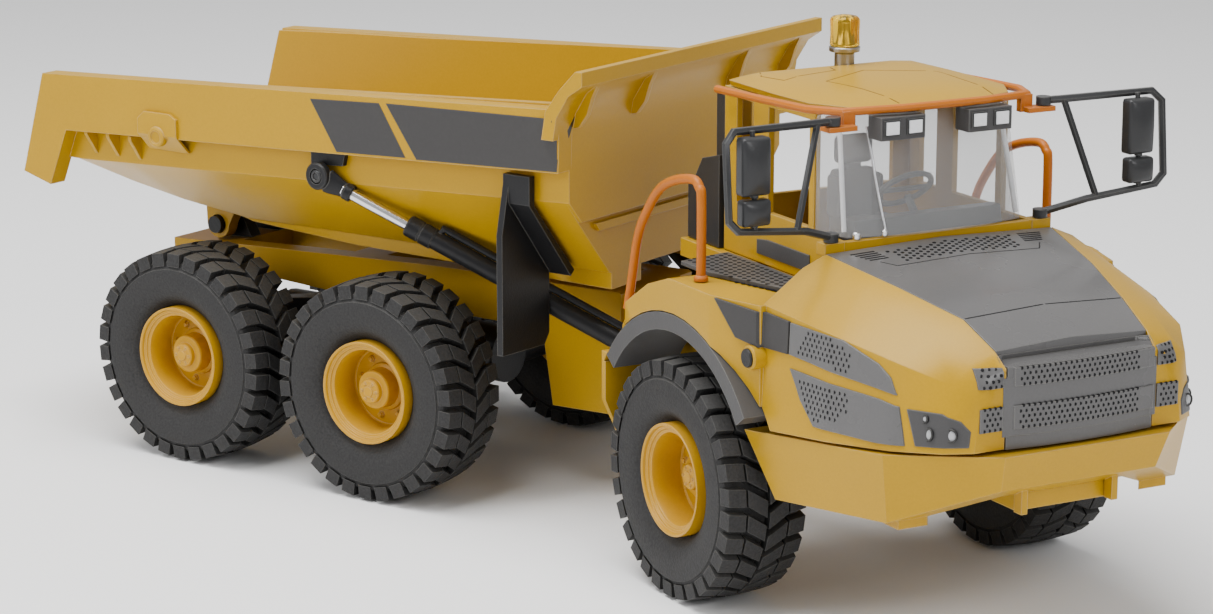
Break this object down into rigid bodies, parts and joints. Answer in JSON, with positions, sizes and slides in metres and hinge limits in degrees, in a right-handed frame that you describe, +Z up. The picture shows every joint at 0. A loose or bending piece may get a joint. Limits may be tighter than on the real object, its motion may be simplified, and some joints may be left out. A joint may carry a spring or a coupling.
{
  "type": "toy articulated dump truck",
  "caption": "Toy articulated dump truck: hinged tractor with a detailed cab, and a load unit on a bogie with a body that tips on two cylinders.",
  "frame": {"origin": "middle of the footprint on the ground, with the tractor steered to its right as it stands", "axes": "+X forward along the load unit, +Y to its left, +Z up"},
  "size_m": [0.429, 0.1848, 0.1643],
  "materials": {
    "amber_plastic": "translucent amber",
    "black_plastic": "satin moulded near-black",
    "clear_plastic": "clear moulded plastic",
    "grey_plastic": "satin moulded grey",
    "orange_plastic": "moulded orange",
    "rod_chrome": "bright plated",
    "tyre": "fine grained dark rubber",
    "yellow_plastic": "satin moulded yellow"
  },
  "bodies": {
    "load_unit": {"rear_frame": "yellow_plastic", "dump_hinge_mount": "grey_plastic", "bogie": "black_plastic", "mid_axle": "black_plastic", "rear_axle": "black_plastic"},
    "tipping_body": {"dump_body": "yellow_plastic", "hoist_lug_left": "black_plastic", "hoist_lug_right": "black_plastic", "mudguard_left": "black_plastic", "mudguard_right": "black_plastic"},
    "hitch": {"hitch_link": "black_plastic"},
    "hoist_barrel_right": {"hoist_barrel_right": "black_plastic"},
    "hoist_rod_right": {"hoist_rod_right": "rod_chrome"},
    "hoist_barrel_left": {"hoist_barrel_left": "black_plastic"},
    "hoist_rod_left": {"hoist_rod_left": "rod_chrome"},
    "front_wheel_right": {"front_tyre_right": "tyre", "front_rim_right": "yellow_plastic"},
    "front_wheel_left": {"front_tyre_left": "tyre", "front_rim_left": "yellow_plastic"},
    "mid_wheel_right": {"mid_tyre_right": "tyre", "mid_rim_right": "yellow_plastic"},
    "mid_wheel_left": {"mid_tyre_left": "tyre", "mid_rim_left": "yellow_plastic"},
    "rear_wheel_right": {"rear_tyre_right": "tyre", "rear_rim_right": "yellow_plastic"},
    "rear_wheel_left": {"rear_tyre_left": "tyre", "rear_rim_left": "yellow_plastic"},
    "tractor": {"front_frame": "black_plastic", "front_axle": "black_plastic", "tractor_body": "yellow_plastic", "hood": "grey_plastic", "grille": "grey_plastic", "front_bumper": "yellow_plastic", "arch_flare_right": "grey_plastic", "walkway_right": "grey_plastic", "arch_flare_left": "grey_plastic", "walkway_left": "grey_plastic", "cab_shell": "yellow_plastic", "windscreen": "clear_plastic", "cab_roof": "yellow_plastic", "seat": "grey_plastic", "dashboard": "grey_plastic", "steering_wheel": "black_plastic", "roof_rail": "orange_plastic", "beacon": "amber_plastic", "exhaust_stack": "grey_plastic", "arch_rail_right": "orange_plastic", "work_light_right": "black_plastic", "arch_rail_left": "orange_plastic", "work_light_left": "black_plastic"},
    "mirror_right": {"mirror_arm_right": "black_plastic"},
    "mirror_left": {"mirror_arm_left": "black_plastic"}
  },
  "joints": [
    {"name": "dump_tip", "type": "hinge", "parent": "load_unit", "child": "tipping_body", "pos_m": [-0.16646, 0.02465, 0.0695], "axis": [0, -1, 0], "range_deg": [0, 50]},
    {"name": "hoist_pivot_right", "type": "hinge", "parent": "load_unit", "child": "hoist_barrel_right", "pos_m": [0.02354, -0.00185, 0.051], "axis": [-0.5152, 0.6584, -0.5487], "range_deg": [0, 9.32]},
    {"name": "hoist_extend_right", "type": "slide", "parent": "hoist_barrel_right", "child": "hoist_rod_right", "axis": [-0.849, -0.3045, 0.4318], "range_m": [0, 0.0744]},
    {"name": "hoist_pivot_left", "type": "hinge", "parent": "load_unit", "child": "hoist_barrel_left", "pos_m": [0.02354, 0.05115, 0.051], "axis": [0.5152, 0.6584, 0.5487], "range_deg": [0, 9.32]},
    {"name": "hoist_extend_left", "type": "slide", "parent": "hoist_barrel_left", "child": "hoist_rod_left", "axis": [-0.849, 0.3045, 0.4318], "range_m": [0, 0.0744]},
    {"name": "front_wheel_right_spin", "type": "hinge", "parent": "tractor", "child": "front_wheel_right", "pos_m": [0.07882, -0.055, 0.036], "axis": [0.4462, 0.8949, 0], "continuous": true},
    {"name": "front_wheel_left_spin", "type": "hinge", "parent": "tractor", "child": "front_wheel_left", "pos_m": [0.12759, 0.04281, 0.036], "axis": [0.4462, 0.8949, 0], "continuous": true},
    {"name": "mid_wheel_right_spin", "type": "hinge", "parent": "load_unit", "child": "mid_wheel_right", "pos_m": [-0.06076, -0.03, 0.036], "axis": [0, 1, 0], "continuous": true},
    {"name": "mid_wheel_left_spin", "type": "hinge", "parent": "load_unit", "child": "mid_wheel_left", "pos_m": [-0.06076, 0.0793, 0.036], "axis": [0, 1, 0], "continuous": true},
    {"name": "rear_wheel_right_spin", "type": "hinge", "parent": "load_unit", "child": "rear_wheel_right", "pos_m": [-0.14106, -0.03, 0.036], "axis": [0, 1, 0], "continuous": true},
    {"name": "rear_wheel_left_spin", "type": "hinge", "parent": "load_unit", "child": "rear_wheel_left", "pos_m": [-0.14106, 0.0793, 0.036], "axis": [0, 1, 0], "continuous": true},
    {"name": "hitch_roll", "type": "hinge", "parent": "load_unit", "child": "hitch", "pos_m": [0.01654, 0.02465, 0.039], "axis": [1, 0, 0], "range_deg": [-10, 10]},
    {"name": "steering", "type": "hinge", "parent": "hitch", "child": "tractor", "pos_m": [0.04154, 0.02465, 0.039], "axis": [0, 0, 1], "range_deg": [-18.5, 71.5]},
    {"name": "mirror_right_fold", "type": "hinge", "parent": "tractor", "child": "mirror_right", "pos_m": [0.11945, -0.05397, 0.1254], "axis": [0, 0, 1], "range_deg": [-50, 25]},
    {"name": "mirror_left_fold", "type": "hinge", "parent": "tractor", "child": "mirror_left", "pos_m": [0.15122, 0.00975, 0.1254], "axis": [0, 0, 1], "range_deg": [-25, 50]}
  ],
  "couplings": [
    {"joint": "hoist_pivot_right", "follows": "dump_tip", "ratio": 0.18536},
    {"joint": "hoist_extend_right", "follows": "dump_tip", "m_per_rad": 0.084986},
    {"joint": "hoist_pivot_left", "follows": "dump_tip", "ratio": 0.18536},
    {"joint": "hoist_extend_left", "follows": "dump_tip", "m_per_rad": 0.084986}
  ]
}
